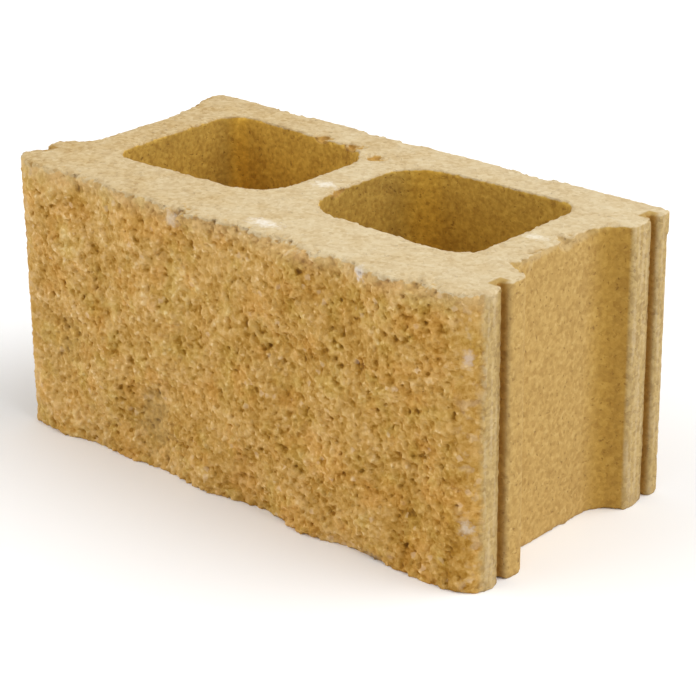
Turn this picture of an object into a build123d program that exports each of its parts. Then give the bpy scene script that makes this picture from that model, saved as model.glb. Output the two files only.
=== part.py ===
"""Split-face hollow concrete block: two tapered cores, grooved flanged ends and one fractured face.

Millimetres. +X runs along the block, +Y from the split face to the plain rear face, +Z up.
The origin is on the lower bed, midway between the two ends and midway between the rear face
and the mean plane of the split face.
"""

from build123d import *
import math
import os

# Overall sizes
LENGTH = 390.0  # end to end, over the flanges
DEPTH = 190.0  # rear face to the mean plane of the split face
HEIGHT = 190.0  # bed to bed

# Walls, measured on the upper bed, where they are thinnest
REAR_SHELL = 27.0
FRONT_SHELL = 47.0  # to the mean plane of the split face
CENTRE_WEB = 28.0
END_WEB = 28.0  # from a core to the floor of the end recess

# Cores, which draw in towards the lower bed as the mould's core bars do
CORE_TAPER = 5.0  # how much each wall gains from the upper bed to the lower
CORE_SPLAY = 5.0  # how much each shell thickens from an end web to the centre web
CORE_END_RADIUS = 18.0  # corners beside an end web
CORE_CENTRE_RADIUS = 32.0  # corners beside the centre web

# End recess between the two flanges
RECESS_DEPTH = 18.0
FRONT_FLANGE = 46.0  # mean split plane to the lip of the recess
REAR_FLANGE = 37.0  # rear face to the lip of the recess
RECESS_SLOPE = 11.0  # run of each sloping side, from lip to floor
RECESS_FLOOR_RADIUS = 20.0
RECESS_LIP_RADIUS = 4.0

# Mortar-key groove down each flange
FRONT_GROOVE = 28.0  # mean split plane to the middle of the groove
REAR_GROOVE = 15.5  # rear face to the middle of the groove
GROOVE_WIDTH = 7.5  # at the mouth
GROOVE_ROOT = 4.0  # at the root
GROOVE_DEPTH = 7.5
GROOVE_LIP_RADIUS = 1.5
GROOVE_ROOT_RADIUS = 1.0

# Vertical arrises of the plain rear face
REAR_ARRIS_RADIUS = 5.0

# Split face: the block is cast joined to a twin, notched at both ends and cracked apart
NOTCH_DEPTH = 6.0  # how far each splitting notch bites into the end
NOTCH_WIDTH = 12.0  # across the mouth of the notch, half of it on each twin
SPLIT_SWELL = 4.0  # how far the fracture's mean plane stands proud of the notches
SPLIT_RELIEF = 11.0  # sum of the wave heights below, about the mean plane
CRAG_RELIEF = 2.2  # sum of the heights of the crags, shorter waves that ride on the first
TWIN_STUB = 40.0  # stretch of the twin that is cast on and then split away

# Waves of the fracture: share of the relief, waves along the length, waves up the height, turns.
# The first two are the skew of the crack from end to end and its lean from bed to bed.
SPLIT_WAVE_SHARES = (
    (0.26, 0.5, 0.00, 0.00),
    (0.18, 0.0, 0.50, -0.25),
    (0.10, 1.9, -0.65, 0.20),
    (0.10, 1.3, 1.50, 0.72),
    (0.12, 3.8, -0.85, 0.61),
    (0.16, 5.2, 1.04, 0.52),
    (0.08, 3.0, -2.05, 0.70),
)
CRAG_WAVE_SHARES = (
    (0.19, 7.7, 0.90, 0.15),
    (0.18, 4.2, -3.90, 0.48),
    (0.17, 8.7, -2.20, 0.83),
    (0.16, 5.3, 3.30, 0.27),
    (0.15, 1.6, 4.50, 0.66),
    (0.15, 6.6, -4.40, 0.05),
)
NOTCH_HOLD_POWER = 24  # even; the higher, the later the fracture turns in to meet a notch
SPLIT_ROWS = 31  # grid that the fracture surface is drawn through
SPLIT_COLUMNS = 61

OVERRUN = 5.0  # how far every cutter passes the faces that it cuts

# Places that follow from the sizes above
END_X = LENGTH / 2
REAR_Y = DEPTH / 2
SPLIT_Y = -DEPTH / 2
NOTCH_X = END_X - NOTCH_DEPTH
NOTCH_Y = SPLIT_Y + SPLIT_SWELL
FLOOR_X = END_X - RECESS_DEPTH


def groove(middle):
    """Corner points and radii of one groove in the end at +X, going towards the rear."""
    mouth, root, root_x = GROOVE_WIDTH / 2, GROOVE_ROOT / 2, END_X - GROOVE_DEPTH
    return [
        ((END_X, middle - mouth), GROOVE_LIP_RADIUS),
        ((root_x, middle - root), GROOVE_ROOT_RADIUS),
        ((root_x, middle + root), GROOVE_ROOT_RADIUS),
        ((END_X, middle + mouth), GROOVE_LIP_RADIUS),
    ]


def end_corners():
    """Corner points and radii of the end at +X, from the twin's stub round to the rear face."""
    front_lip, rear_lip = SPLIT_Y + FRONT_FLANGE, REAR_Y - REAR_FLANGE
    return [
        ((END_X, SPLIT_Y - TWIN_STUB), 0),
        ((END_X, NOTCH_Y - NOTCH_WIDTH / 2), 0),
        ((NOTCH_X, NOTCH_Y), 0),
        ((END_X, NOTCH_Y + NOTCH_WIDTH / 2), 0),
        *groove(SPLIT_Y + FRONT_GROOVE),
        ((END_X, front_lip), RECESS_LIP_RADIUS),
        ((FLOOR_X, front_lip + RECESS_SLOPE), RECESS_FLOOR_RADIUS),
        ((FLOOR_X, rear_lip - RECESS_SLOPE), RECESS_FLOOR_RADIUS),
        ((END_X, rear_lip), RECESS_LIP_RADIUS),
        *groove(REAR_Y - REAR_GROOVE),
        ((END_X, REAR_Y), REAR_ARRIS_RADIUS),
    ]


def rounded_face(corners):
    """Flat face inside a closed outline of (point, corner radius) pairs."""
    points, radii = zip(*corners)
    return make_face(FilletPolyline(*points, radius=radii, close=True))


def casting():
    """The block and the stub of its twin, as they leave the mould, before the cores."""
    right_end = end_corners()
    left_end = [((-x, y), radius) for (x, y), radius in reversed(right_end)]
    return extrude(rounded_face(right_end + left_end), amount=HEIGHT)


def core():
    """The space that the core bar at +X leaves, opening out upwards and run past both beds."""
    near, far = CENTRE_WEB / 2, FLOOR_X - END_WEB
    front, rear = SPLIT_Y + FRONT_SHELL, REAR_Y - REAR_SHELL
    section = rounded_face([
        ((near, front + CORE_SPLAY), CORE_CENTRE_RADIUS),
        ((far, front), CORE_END_RADIUS),
        ((far, rear), CORE_END_RADIUS),
        ((near, rear - CORE_SPLAY), CORE_CENTRE_RADIUS),
    ])
    bar = Pos(Z=-OVERRUN) * extrude(section, amount=HEIGHT + 2 * OVERRUN)
    walls = bar.faces().sort_by(Axis.Z)[1:-1]
    draft_angle = math.degrees(math.atan(CORE_TAPER / HEIGHT))
    return draft(walls, Plane.XY.offset(HEIGHT), -draft_angle)


def fracture_y(x, z):
    """Place of the fracture: held at the notch roots, and swelling and waving between them."""
    def waves(shares):
        return sum(
            share * math.sin(2 * math.pi * (along * x / LENGTH + up * z / HEIGHT + turns))
            for share, along, up, turns in shares
        )

    free = 1 - (x / NOTCH_X) ** NOTCH_HOLD_POWER
    swell = SPLIT_SWELL + SPLIT_RELIEF * waves(SPLIT_WAVE_SHARES) + CRAG_RELIEF * waves(CRAG_WAVE_SHARES)
    return NOTCH_Y - free * swell


def twin_side():
    """Everything in front of the fracture, which goes away with the twin."""
    def spread(low, high, count):
        return [low + (high - low) * step / (count - 1) for step in range(count)]

    fracture = Face.make_surface_from_array_of_points([
        [(x, fracture_y(x, z), z) for x in spread(-END_X - OVERRUN, END_X + OVERRUN, SPLIT_COLUMNS)]
        for z in spread(-OVERRUN, HEIGHT + OVERRUN, SPLIT_ROWS)
    ])
    return extrude(fracture, amount=2 * TWIN_STUB, dir=(0, -1, 0))


concrete_block = casting() - core() - mirror(core(), Plane.YZ) - twin_side()

os.makedirs("parts", exist_ok=True)
export_step(concrete_block, "parts/concrete_block.step")
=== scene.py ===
import math

import bpy
import numpy as np
from mathutils import Matrix, Vector, noise


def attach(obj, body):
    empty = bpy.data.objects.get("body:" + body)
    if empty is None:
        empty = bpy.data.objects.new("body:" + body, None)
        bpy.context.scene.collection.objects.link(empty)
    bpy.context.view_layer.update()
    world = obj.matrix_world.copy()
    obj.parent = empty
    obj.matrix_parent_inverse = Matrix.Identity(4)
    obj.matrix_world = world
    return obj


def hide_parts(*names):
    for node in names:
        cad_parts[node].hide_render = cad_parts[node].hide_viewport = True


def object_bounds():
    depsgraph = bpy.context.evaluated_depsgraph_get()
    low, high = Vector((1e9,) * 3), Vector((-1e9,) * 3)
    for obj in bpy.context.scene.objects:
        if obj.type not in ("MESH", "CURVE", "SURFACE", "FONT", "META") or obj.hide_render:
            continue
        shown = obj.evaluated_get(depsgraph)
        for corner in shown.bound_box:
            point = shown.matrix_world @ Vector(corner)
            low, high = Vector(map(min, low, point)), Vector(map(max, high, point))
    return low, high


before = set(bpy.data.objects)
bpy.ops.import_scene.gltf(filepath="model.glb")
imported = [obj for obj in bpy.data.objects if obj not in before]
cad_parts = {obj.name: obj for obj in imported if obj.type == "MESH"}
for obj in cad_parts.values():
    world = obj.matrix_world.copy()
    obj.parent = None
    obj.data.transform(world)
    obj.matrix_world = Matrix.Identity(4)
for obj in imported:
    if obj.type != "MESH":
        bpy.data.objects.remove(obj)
cad_low, cad_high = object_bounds()

# The block: a hollow masonry unit of buff concrete. A nearly dry mix of sand and small gravel
# is pressed into a steel mould with a twin beside it and stripped at once, which leaves sandy
# faces and crumbly arrises. After curing its front is cracked off the twin.
MM = 0.001
END_X, REAR_Y, TOP_Z = 195 * MM, 95 * MM, 190 * MM
FRONT_KEY_Y, REAR_KEY_Y = -67 * MM, 79.5 * MM  # middles of the mortar-key grooves in the flanges
MERGE_GAP = 0.01 * MM

block = bpy.data.objects.new("split_face_block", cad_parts["concrete_block"].data.copy())
bpy.context.scene.collection.objects.link(block)


def take_up(*pieces):
    """Select these pieces alone, the last one active."""
    bpy.ops.object.select_all(action="DESELECT")
    for piece in pieces:
        piece.select_set(True)
        bpy.context.view_layer.objects.active = piece


def finish_with(piece, kind, **settings):
    """Add a modifier to a piece and apply it."""
    take_up(piece)
    modifier = piece.modifiers.new(kind.title(), kind)
    for name, value in settings.items():
        setattr(modifier, name, value)
    bpy.ops.object.modifier_apply(modifier=modifier.name)


def lumpiness(name, kind, **settings):
    """Solid pattern that pushes a surface in and out."""
    pattern = bpy.data.textures.new(name, kind)
    for key, value in settings.items():
        setattr(pattern, key, value)
    return pattern


take_up(block)
bpy.ops.object.mode_set(mode="EDIT")
bpy.ops.mesh.select_all(action="SELECT")
bpy.ops.mesh.remove_doubles(threshold=MERGE_GAP)
bpy.ops.object.mode_set(mode="OBJECT")

# Places where a piece has broken off an arris: middle, half sizes and jaggedness in millimetres
CHIPS = (
    ((181, 14, 198), (17, 9, 12), 3.0),  # upper arris of the right end web, the deepest bite
    ((183, 27, 195), (10, 20, 9), 3.0),  # and its shallow tail towards the rear flange
    ((183, -16, 195), (10, 24, 8), 3.0),  # the worn stretch in front of it
    ((183, -36, 195), (10, 10, 10), 3.0),  # inner corner of the front flange
    ((-200, 54, 197), (21, 32, 18), 0.8),  # upper corner of the rear left flange
    ((-199, 97, 196), (14, 17, 11), 0.8),
    ((-200, 82, 196), (12, 14, 14), 0.8),
    ((-118, 98, 193), (20, 6, 5), 2.0),  # upper arris of the rear face
    ((-30, 98, 193), (28, 6, 5), 2.0),
    ((92, 98, 193), (24, 6, 5), 2.0),
    ((46, -106, 196), (34, 17, 13), 3.0),  # upper arris of the split face
    ((154, -106, 195), (13, 18, 12), 3.0),
    ((-38, -106, 195), (16, 14, 10), 3.0),
    ((8, -106, 194), (9, 12, 9), 3.0),
    ((122, -110, 194), (9, 9, 7), 3.0),
    ((-112, -106, 193), (12, 9, 6), 3.0),
    ((-42, -108, -3), (11, 9, 9), 3.0),  # and its lower one
    ((62, -108, -4), (14, 9, 8), 3.0),
    ((-65, 67, 192), (7, 4, 5), 3.0),  # nicks in the rims of the cores
    ((-36, 66, 192), (8, 5, 5), 3.0),
    ((15, -8, 192), (4, 7, 5), 3.0),
    ((-12, 57, 192), (9, 6, 4), 3.0),  # scoop in the centre web
)
break_roughness = lumpiness("break", "CLOUDS", noise_scale=5 * MM, noise_depth=2)
cutters = []
for middle, halves, jagged in CHIPS:
    bpy.ops.object.select_all(action="DESELECT")
    bpy.ops.mesh.primitive_ico_sphere_add(subdivisions=4, radius=1)
    cutter = bpy.context.active_object
    cutter.scale = [half * MM for half in halves]
    cutter.location = [distance * MM for distance in middle]
    bpy.ops.object.transform_apply(location=True, rotation=True, scale=True)
    finish_with(cutter, "DISPLACE", texture=break_roughness, texture_coords="LOCAL",
                strength=jagged * MM, mid_level=0.5)
    finish_with(block, "BOOLEAN", operation="DIFFERENCE", object=cutter, solver="EXACT")
    cutters.append(cutter)
for cutter in cutters:
    bpy.data.objects.remove(cutter)

# A crust of spilt mix that filled out the rear right arris under the upper bed
CRUST_INSET, CRUST_DROP = 4.2 * MM, 7 * MM  # from the arris and from the bed to its middle
CRUST_WIDTH, CRUST_HEIGHT = 8 * MM, 13.6 * MM
bpy.ops.object.select_all(action="DESELECT")
bpy.ops.mesh.primitive_cube_add(
    size=1,
    location=(END_X - CRUST_INSET, REAR_Y - CRUST_INSET, TOP_Z - CRUST_DROP),
    scale=(CRUST_WIDTH, CRUST_WIDTH, CRUST_HEIGHT),
)
crust = bpy.context.active_object
take_up(crust, block)
bpy.ops.object.join()

GRAIN = 1.25 * MM  # spacing of the points that carry the relief
finish_with(block, "REMESH", mode="VOXEL", voxel_size=GRAIN)


def points():
    """Place of every point of the block, one row each."""
    flat = np.empty(len(block.data.vertices) * 3, np.float32)
    block.data.vertices.foreach_get("co", flat)
    return flat.reshape(-1, 3)


def facings():
    """Direction that the surface faces at every point, one row each."""
    flat = np.empty(len(block.data.vertices) * 3, np.float32)
    block.data.vertex_normals.foreach_get("vector", flat)
    return flat.reshape(-1, 3)


def ease(low, high, values):
    """0 at low and 1 at high, easing in and out."""
    share = np.clip((values - low) / (high - low), 0, 1)
    return share * share * (3 - 2 * share)


WEIGHT_STEPS = 20


def weigh(name, weights):
    """Vertex group with the given weights, rounded to even steps."""
    group = block.vertex_groups.new(name=name)
    steps = np.rint(weights * WEIGHT_STEPS).astype(int)
    for step in range(1, WEIGHT_STEPS + 1):
        chosen = np.flatnonzero(steps == step)
        if len(chosen):
            group.add(chosen.tolist(), step / WEIGHT_STEPS, "REPLACE")


moulded = points()
along, deep, high = moulded.T


def patches(size, seed):
    """Soft noise at every moulded point, from 0 to 1."""
    shift = Vector((seed, 2 * seed, 3 * seed))
    return np.array([0.5 + 0.5 * noise.noise(Vector(point) / size + shift) for point in moulded])


# Crumbled arrises: worn by turns hardly at all and by two or three millimetres. The grooves and
# the broken rear left corner are worn all over, and the crust hardly anywhere.
crumble = ease(0.40, 0.74, 0.6 * patches(13 * MM, 3.1) + 0.4 * patches(4.5 * MM, 7.7))
off_key = np.minimum(abs(deep - FRONT_KEY_Y), abs(deep - REAR_KEY_Y))
in_groove = (np.abs(along) > 186 * MM) & (off_key < 7 * MM)
in_corner = (along < -172 * MM) & (deep > 20 * MM) & (high > 165 * MM)
in_crust = (along > 185 * MM) & (deep > 85 * MM) & (high > 174 * MM)
softness = np.where(in_groove | in_corner, 0.7 + 0.3 * crumble, 0.18 + 0.82 * crumble)
weigh("crumbling", np.where(in_crust, 0.1 + 0.2 * crumble, softness))
finish_with(block, "SMOOTH", factor=0.5, iterations=12, vertex_group="crumbling")

# The brow of the split face, which breaks back further by turns
at_brow = ease(14 * MM, 5 * MM, TOP_Z - high) * ease(-76 * MM, -88 * MM, deep)
weigh("brow", at_brow * ease(0.40, 0.60, patches(9 * MM, 5.5)))
finish_with(block, "SMOOTH", factor=0.5, iterations=30, vertex_group="brow")

# How worn each point is, by what it has lost so far or by the jaggedness of its chip
FULL_WEAR = 1.5 * MM
CHIP_WEAR = 0.53  # for each millimetre of jaggedness
wear = np.linalg.norm(points() - moulded, axis=1) / FULL_WEAR
for middle, halves, jagged in CHIPS:
    reach = np.linalg.norm((moulded - np.array(middle) * MM) / (np.array(halves) * MM), axis=1)
    wear = np.maximum(wear, CHIP_WEAR * jagged * ease(1.45, 1.15, reach))

# Front lips of the key grooves, which the mould's ribs drag round as it is lifted off
past_key = np.where(deep < 0, deep - FRONT_KEY_Y, deep - REAR_KEY_Y)
at_lip = ease(-13 * MM, -8 * MM, past_key) * ease(-1 * MM, -3 * MM, past_key)
weigh("lips", ease(186 * MM, 190 * MM, np.abs(along)) * at_lip)
finish_with(block, "SMOOTH", factor=0.5, iterations=16, vertex_group="lips")

# Relief of the split face, nibbled rims, and the sandy grain of the moulded faces
facing = facings()
unbroken = points()
split = ease(0.25, 0.6, -facing[:, 1]) * ease(-80 * MM, -87 * MM, unbroken[:, 1])
split *= 1 - 0.6 * ease(174 * MM, 188 * MM, np.abs(unbroken[:, 0]))
upward = np.abs(facing[:, 2])
rims = ease(0.15, 0.45, upward) * ease(0.98, 0.85, upward) * (1 - split) * (1 - np.clip(wear, 0, 1))
weigh("fracture", split)
weigh("mould", 1 - split)
weigh("arris", np.clip(wear, 0, 1) * (1 - 0.5 * split))
weigh("rims", rims)


def relief(group, height, middle, pattern):
    """Push a group's points out where a pattern passes its middle, and in where it falls short."""
    finish_with(block, "DISPLACE", texture=pattern, texture_coords="LOCAL", strength=height,
                mid_level=middle, vertex_group=group)


relief("fracture", 2.8 * MM, 0.5, lumpiness("pebbles", "CLOUDS", noise_scale=7 * MM, noise_depth=1))
relief("fracture", -1.7 * MM, 0.5, lumpiness("gravel", "VORONOI", noise_scale=3.8 * MM))
relief("fracture", 3.9 * MM, 0.5, lumpiness("grit", "CLOUDS", noise_scale=3.0 * MM, noise_depth=1))
relief("fracture", -2.0 * MM, 0, lumpiness("lost_stones", "CLOUDS", noise_scale=3.6 * MM, noise_depth=1,
                                           contrast=3.4, intensity=0, use_clamp=True))
relief("arris", 5.5 * MM, 0.60, lumpiness("crumbs", "CLOUDS", noise_scale=4.5 * MM, noise_depth=1))
relief("rims", 3.0 * MM, 0.56, lumpiness("nibbles", "CLOUDS", noise_scale=5 * MM, noise_depth=1))
relief("mould", -1.0 * MM, 0, lumpiness("voids", "CLOUDS", noise_scale=3.4 * MM, noise_depth=0,
                                        contrast=2.4, intensity=0, use_clamp=True))
sinking = np.einsum("ij,ij->i", unbroken - points(), facing)


def hold_in_box():
    """Bring points that the relief pushed past the CAD model's box back to it."""
    held = np.clip(points(), np.array(cad_low), np.array(cad_high))
    block.data.vertices.foreach_set("co", held.ravel())


def paint(name, values):
    """Number at every point that the concrete's material reads."""
    layer = block.data.attributes.new(name, "FLOAT", "POINT")
    layer.data.foreach_set("value", np.clip(values, 0, 1).astype(np.float32))


SINKING_RANGE = 4 * MM  # from the highest grain to the deepest pit
KEPT_POINTS = 0.28  # share left after thinning
unworn = 1 - np.clip(rims + wear * (1 - split), 0, 1)
hold_in_box()
# how deep each point sank under the relief; the material darkens deep points, partly as painted shade in
# the pits
paint("sunk", 0.5 + sinking * unworn / SINKING_RANGE)
paint("worn", wear)
# which way each point faces along x, read by the painted shade and light in the cores
paint("rightward", facing[:, 0])
finish_with(block, "DECIMATE", decimate_type="COLLAPSE", ratio=KEPT_POINTS)
hold_in_box()
block.data.update()
take_up(block)
bpy.ops.object.shade_smooth()


class Shade:
    """A value in the concrete's material. Sums and products of Shades become Math nodes."""

    tree = None

    def __init__(self, socket):
        self.socket = socket

    @classmethod
    def node(cls, kind, settings, sockets, out=0):
        """Any node: its settings are set first, then the values or links of its sockets."""
        made = cls.tree.nodes.new("ShaderNode" + kind)
        for name, value in settings.items():
            if name == "stops":
                while len(made.color_ramp.elements) < len(value):
                    made.color_ramp.elements.new(1)
                for stop, (position, colour) in zip(made.color_ramp.elements, value):
                    stop.position = position
                    stop.color = (*colour, 1)
            else:
                setattr(made, name, value)
        for name, value in sockets.items():
            if isinstance(value, Shade):
                cls.tree.links.new(value.socket, made.inputs[name])
            elif isinstance(value, tuple) and made.inputs[name].type == "RGBA":
                made.inputs[name].default_value = (*value, 1)
            else:
                made.inputs[name].default_value = value
        return cls(made.outputs[out])

    def maths(self, operation, *others):
        return Shade.node("Math", {"operation": operation}, dict(enumerate((self, *others))))

    def __add__(self, other):
        return self.maths("ADD", other)

    def __sub__(self, other):
        return self.maths("SUBTRACT", other)

    def __mul__(self, other):
        return self.maths("MULTIPLY", other)

    def __rsub__(self, other):
        return Shade.node("Math", {"operation": "SUBTRACT"}, {0: other, 1: self})

    __radd__, __rmul__ = __add__, __mul__

    def between(self, low, high):
        """0 at low and 1 at high, easing in and out."""
        return Shade.node("MapRange", {"interpolation_type": "SMOOTHSTEP"},
                          {"Value": self, "From Min": low, "From Max": high})

    def within(self, start, full, fading, end):
        """0 up to start, 1 from full to fading and 0 again past end, all in millimetres."""
        return self.between(start * MM, full * MM) * self.between(end * MM, fading * MM)

    def over(self, ground, colour, blend="MIX"):
        """A colour laid on the ground colour wherever this value is 1."""
        return Shade.node("Mix", {"data_type": "RGBA", "blend_type": blend},
                          {0: self, 6: ground, 7: colour}, out=2)

    def tints(self, ground, colour):
        """The ground colour multiplied by another wherever this value is 1."""
        return self.over(ground, colour, "MULTIPLY")


concrete = bpy.data.materials.new("buff_concrete")
concrete.use_nodes = True
Shade.tree = concrete.node_tree
spot = Shade.node("TexCoord", {}, {}, out="Object")
x, y, z = (Shade.node("SeparateXYZ", {}, {"Vector": spot}, out=axis) for axis in "XYZ")
length = x.maths("ABSOLUTE")
sunk = Shade.node("Attribute", {"attribute_name": "sunk"}, {}, out="Fac")
worn = Shade.node("Attribute", {"attribute_name": "worn"}, {}, out="Fac")
rightward = Shade.node("Attribute", {"attribute_name": "rightward"}, {}, out="Fac")


def clouds(size, detail=2.0, seed=0.0):
    """Soft patches about one size across, from 0 to 1."""
    moved = Shade.node("VectorMath", {"operation": "ADD"}, {0: spot, 1: (seed, seed, seed)})
    return Shade.node("TexNoise", {}, {"Vector": moved, "Scale": 1 / size, "Detail": detail})


RIPPLE_SIZE, RIPPLE_SWAY = 3 * MM, 1.8 * MM  # wobble that roughens the outlines of stones and marks
ripple = Shade.node("TexNoise", {}, {"Vector": spot, "Scale": 1 / RIPPLE_SIZE, "Detail": 2.0}, out=1)
wavy = Shade.node("VectorMath", {"operation": "MULTIPLY_ADD"}, {0: ripple, 1: (RIPPLE_SWAY,) * 3, 2: spot})


def stones(size):
    """Stones packed side by side: how far off its stone's middle a point is, and the stone's number."""
    cells = Shade.node("TexVoronoi", {}, {"Vector": wavy, "Scale": 1 / size})
    number = Shade.node("SeparateColor", {}, {0: Shade(cells.socket.node.outputs["Color"])})
    return cells, number


gravel_off, gravel = stones(4.4 * MM)
sand_off, sand = stones(2.5 * MM)
dust = clouds(1.3 * MM)
grit = clouds(3.2 * MM, seed=7.0)
drift = clouds(27 * MM, detail=3.0, seed=5.0)
pores = clouds(2.8 * MM, detail=1.0, seed=41.0).between(0.66, 0.74)

# Where each surface lies: the bed with its ragged front edge, the fracture, the walls of the cores,
# the flanges with their key grooves and shoulders, and the hollows of the end recesses
wander = clouds(5 * MM, seed=9.0) - 0.5
front = y.between(-70 * MM, -84 * MM)
ragged = wander * (2 * MM + front * (7 * MM))
ragged = ragged + front * (clouds(17 * MM, seed=3.0) - 0.5) * (5 * MM)
bed = (z + ragged).between(188.2 * MM - front * (1.2 * MM), 189.3 * MM - front * (0.6 * MM))
fracture = (y + wander * (9 * MM)).between(-83 * MM, -90 * MM) * (1 - bed)
core_wall = length.between(152 * MM, 151 * MM) * y.within(-53, -52, 72, 73) * (1 - bed)
core = core_wall * worn.between(0.9, 0.3)
nicked = core_wall * worn.between(0.3, 0.9)
end_face = length.between(191.5 * MM, 193.5 * MM) * (1 - bed) * (1 - fracture)
flange = end_face * (1 - y.within(-66, -62, 46, 50))
off_front_key = (y - FRONT_KEY_Y).maths("ABSOLUTE")
off_rear_key = (y - REAR_KEY_Y).maths("ABSOLUTE")
key = off_front_key.between(7 * MM, 5 * MM) + off_rear_key.between(7 * MM, 5 * MM)
painted_groove_shadow = key * length.within(184, 186, 190, 194.4)
painted_shoulder_shade = (y.within(-78, -71, -67, -63) + y.within(70.5, 75.5, 79.5, 83.5)) * end_face
hollow = y.within(30, 50, 58, 61) + y.within(-52, -49, -44, -24)
painted_fillet_shade = hollow * length.within(172, 176, 191.5, 194) * (1 - bed) * x.between(-300 * MM, 180 * MM)

# How light the mix is, with painted shade in its pits: stones, sand and pits on the fracture, a calmer
# skin on the moulded faces
tone = 0.5 + 0.20 * (gravel - 0.5) + 0.16 * (sand - 0.5) + 0.16 * (dust - 0.5) + 0.40 * (grit - 0.5)
# deep points darker: partly the mix's own colour, partly painted shade in the pits
pit_colour_and_shade = sunk.between(0.68, 1.0)
glint = sand.between(0.86, 0.90) * sand_off.between(0.55, 0.25)
rough_tone = 0.055 + tone + 0.55 * (drift - 0.5) - 0.30 * (sunk - 0.5) - 0.22 * pit_colour_and_shade
# the fracture grows darker towards the right end
rough_tone = rough_tone + 0.16 * glint - 0.33 * x
even_tone = 0.44 + 0.42 * (tone - 0.5) + 0.16 * (grit - 0.5) + 0.10 * (sand - 0.5)
even_tone = even_tone + 0.08 * (drift - 0.5) - 0.30 * pit_colour_and_shade - 0.18 * pores
mixed = fracture * rough_tone + (1 - fracture) * even_tone + core * 0.25 * (grit - 0.5)
mixed = mixed + flange * (0.06 * (grit - 0.5) + 0.12 * (sand - 0.5) + 0.08 * pores)
coloured = Shade.node("ValToRGB", {"stops": (
    (0.00, (0.150, 0.058, 0.002)),
    (0.28, (0.330, 0.156, 0.011)),
    (0.50, (0.488, 0.274, 0.058)),
    (0.72, (0.626, 0.391, 0.130)),
    (1.00, (0.790, 0.580, 0.290)),
)}, {0: mixed})
coloured = (1 - fracture).tints(coloured, (0.950, 1.01, 1.02))

# Patches of the fracture: rusty, olive and dusty drifts, a few pink stones, and lime near its ends
rusty = clouds(22 * MM, detail=3.0, seed=13.0).between(0.48, 0.68) * fracture * 0.6
coloured = rusty.tints(coloured, (1.05, 0.92, 0.72))
olive = clouds(18 * MM, detail=3.0, seed=17.0).between(0.48, 0.68) * fracture * 0.55
coloured = olive.tints(coloured, (0.94, 1.02, 0.80))
dusty = clouds(15 * MM, detail=3.0, seed=19.0).between(0.50, 0.70) * fracture * 0.35
coloured = dusty.tints(coloured, (1.03, 1.0, 1.15))
pink = gravel.between(0.955, 0.975) * 0.3 * fracture * gravel_off.between(0.6, 0.3)
coloured = pink.over(coloured, (0.66, 0.50, 0.36))
limed = length.between(176 * MM, 188 * MM) * fracture
limed = limed * clouds(7 * MM, detail=3.0, seed=21.0).between(0.5, 0.66)
coloured = (0.25 * limed).over(coloured, (0.66, 0.52, 0.36))

# Pale laitance: thick on the bed, thin on the moulded sides, on worn arrises and on the brow
grainy = 0.12 * (dust - 0.5) + 0.20 * (sand - 0.5) + 0.22 * (grit - 0.5) + 0.14 * (gravel - 0.5)
brow = front * z.between(174 * MM, 189 * MM) * 0.22
bed_bloom = 0.42 + 0.45 * clouds(19 * MM, detail=1.0, seed=2.0) + x * (0.75 - 2.4 * x) + grainy
side_bloom = (1 - fracture) * 0.12 + worn * (1 - front) * 0.18 + brow
bloom = bed * bed_bloom + (1 - bed) * side_bloom
coloured = bloom.over(coloured, (0.68, 0.57, 0.37))

# Flanges: greyer, with pale marks that the mould dragged upwards as it was lifted off
coloured = (flange * 0.21).over(coloured, (0.34, 0.33, 0.21))
drawn = Shade.node("VectorMath", {"operation": "MULTIPLY"}, {0: wavy, 1: (1.0, 1.0, 0.07)})
drag = Shade.node("TexNoise", {}, {"Vector": drawn, "Scale": 1 / (3 * MM), "Detail": 2.0})
flecks = (0.7 * drag + 0.3 * clouds(2.4 * MM, seed=31.0)).between(0.44, 0.66) * flange * 0.32
coloured = flecks.over(coloured, (0.66, 0.53, 0.34))

# Painted shade and light in the cores, the key grooves with their shoulders and the hollows of the end
# recesses, and browner nicks in the core rims
painted_corner_light = core * rightward.between(0.03, 0.35) * rightward.between(1.0, 0.7)
# painted shade: the core walls take the saturated brown of shadow, brightened overall
coloured = core.tints(coloured, (1.34, 1.21, 0.45))
# darker towards the right end
coloured = (core * x.between(-160 * MM, 160 * MM)).tints(coloured, (0.85, 0.86, 0.91))
# the nicks in the core rims show browner broken concrete
coloured = nicked.tints(coloured, (0.92, 0.76, 0.42))
# painted shade on the core walls that face the lamp behind the right end
coloured = (core * rightward.between(0.5, 0.95)).tints(coloured, (0.78, 0.80, 0.98))
# painted light in the rounded corners of the cores, against the shade that gathers there
coloured = painted_corner_light.tints(coloured, (1.20, 1.20, 1.08))
# painted light: less of the shadow's saturation near the rims, where light reaches
coloured = (core * z.between(150 * MM, 190 * MM)).tints(coloured, (0.97, 1.0, 1.25))
# painted shadow inside the key grooves
coloured = painted_groove_shadow.tints(coloured, (0.70, 0.56, 0.28))
# painted shade on the shoulders in front of the key grooves
coloured = painted_shoulder_shade.tints(coloured, (0.66, 0.58, 0.38))
# painted shade in the rounded hollows of the end recesses, mostly at the right end
coloured = painted_fillet_shade.tints(coloured, (0.92, 0.84, 0.49))

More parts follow.
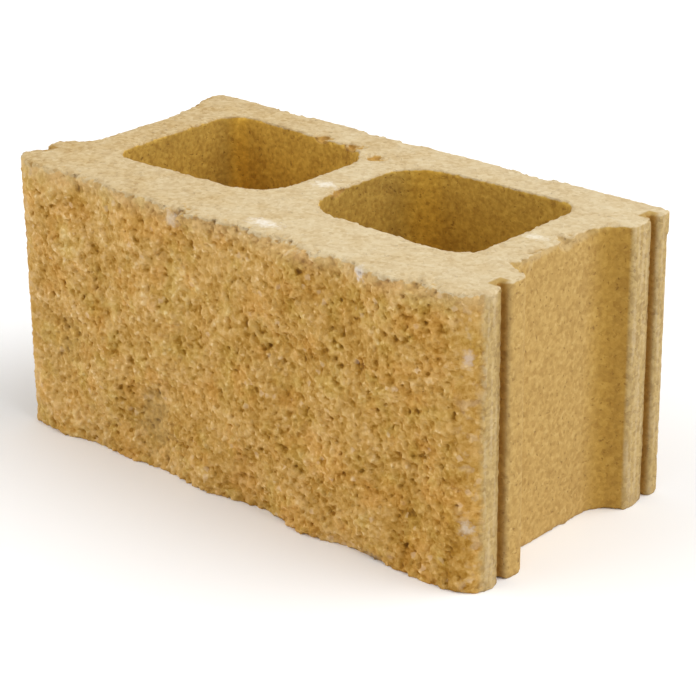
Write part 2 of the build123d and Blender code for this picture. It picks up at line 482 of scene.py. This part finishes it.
# Marks: lime bloom on the bed and along its front arris, pale stones laid bare by the split, and
# a dark patch at the foot of the fracture. Middle and half sizes in millimetres, and colour
MARKS = (
    ((21, -80, 190), (13, 6, 3), (0.86, 0.80, 0.70)),
    ((2, -4, 190), (9, 6, 3), (0.84, 0.78, 0.66)),
    ((161, 5, 190), (8, 5, 3), (0.82, 0.75, 0.60)),
    ((113, -99, 186), (4, 8, 5), (0.78, 0.71, 0.63)),
    ((-42, -99, 183), (6, 9, 5), (0.66, 0.53, 0.38)),
    ((188, -92, 152), (3, 7, 6), (0.62, 0.48, 0.36)),
    ((188, -92, 44), (4, 7, 5), (0.64, 0.52, 0.38)),
    ((118, -101, 2), (13, 12, 4), (0.17, 0.13, 0.11)),
)
for middle, halves, colour in MARKS:
    centre = tuple(distance * MM for distance in middle)
    size = tuple(half * MM for half in halves)
    away = Shade.node("VectorMath", {"operation": "SUBTRACT"}, {0: wavy, 1: centre})
    away = Shade.node("VectorMath", {"operation": "DIVIDE"}, {0: away, 1: size})
    away = Shade.node("VectorMath", {"operation": "LENGTH"}, {0: away}, out="Value")
    mark = (away + 1.8 * (grit - 0.5) + 1.0 * (dust - 0.5)).between(1.3, 0.2) * 0.75
    coloured = mark.over(coloured, colour)

# Grain too fine for the mesh, coarser on the fracture, with pores in the moulded faces
GRAIN_HEIGHT = 0.38 * MM
grain = (0.9 * grit + 0.5 * (1 - sand_off) + 0.2 * dust) * (0.4 + 0.6 * fracture)
grain = grain - 0.6 * pores * (1 - fracture)
surface = Shade.node("Bump", {}, {"Strength": 1.0, "Distance": GRAIN_HEIGHT, "Height": grain})
shader = concrete.node_tree.nodes["Principled BSDF"]
concrete.node_tree.links.new(coloured.socket, shader.inputs["Base Color"])
concrete.node_tree.links.new(surface.socket, shader.inputs["Normal"])
concrete.node_tree.links.new((0.82 + 0.14 * dust).socket, shader.inputs["Roughness"])
shader.inputs["Specular IOR Level"].default_value = 0.3
block.data.materials.clear()
block.data.materials.append(concrete)
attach(block, "root")
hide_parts("concrete_block")

# The studio: a plain pale floor under a white dome, a broad soft lamp high behind the right end
# and a weaker one to the left of the camera.
FLOOR_SIZE = 8
FLOOR_COLOUR, DOME_COLOUR = (0.95, 0.95, 0.95, 1), (1, 1, 1, 1)
DOME_STRENGTH = 0.55
LAMPS = (((0.62, 0.30, 0.72), 2.2), ((-0.62, -0.62, 0.50), 1.15))  # direction to it, strength
LAMP_SPREAD = math.radians(60)
bpy.ops.object.select_all(action="DESELECT")
bpy.ops.mesh.primitive_plane_add(size=FLOOR_SIZE, location=(0, 0, 0))
floor = bpy.context.active_object
floor.name = "studio_floor"
paper = bpy.data.materials.new("pale_floor")
paper.use_nodes = True
paper.node_tree.nodes["Principled BSDF"].inputs["Base Color"].default_value = FLOOR_COLOUR
paper.node_tree.nodes["Principled BSDF"].inputs["Roughness"].default_value = 1
floor.data.materials.append(paper)

world = bpy.data.worlds.new("white_dome")
world.use_nodes = True
world.node_tree.nodes["Background"].inputs["Color"].default_value = DOME_COLOUR
world.node_tree.nodes["Background"].inputs["Strength"].default_value = DOME_STRENGTH
bpy.context.scene.world = world
bpy.context.scene.view_settings.view_transform = "Standard"

for towards, energy in LAMPS:
    bpy.ops.object.light_add(type="SUN", rotation=Vector(towards).to_track_quat("Z", "Y").to_euler())
    lamp = bpy.context.active_object
    lamp.data.angle = LAMP_SPREAD
    lamp.data.energy = energy

# The camera, where the photograph was taken from: angles in degrees, and its distance and offsets
# from the middle of the block.
AZIMUTH, ELEVATION, ROLL = (math.radians(angle) for angle in (41.703, 22.864, -0.624))
DISTANCE, ACROSS, UPWARD = 1551.85 * MM, 11.067 * MM, -17.058 * MM
FOCAL_PIXELS, IMAGE_PIXELS, SENSOR = 2400, 696, 36
ahead = Vector((math.sin(AZIMUTH), -math.cos(AZIMUTH), 0))
level = Vector((math.cos(AZIMUTH), math.sin(AZIMUTH), 0))
back = ahead * math.cos(ELEVATION) + Vector((0, 0, math.sin(ELEVATION)))
right = Matrix.Rotation(ROLL, 3, back) @ level
up = back.cross(right)
eye = Vector((0, 0, TOP_Z / 2)) + back * DISTANCE + right * ACROSS + up * UPWARD
bpy.ops.object.camera_add()
camera = bpy.context.active_object
camera.matrix_world = Matrix.Translation(eye) @ Matrix((right, up, back)).transposed().to_4x4()
camera.data.sensor_width = SENSOR
camera.data.lens = FOCAL_PIXELS / IMAGE_PIXELS * SENSOR
bpy.context.scene.camera = camera
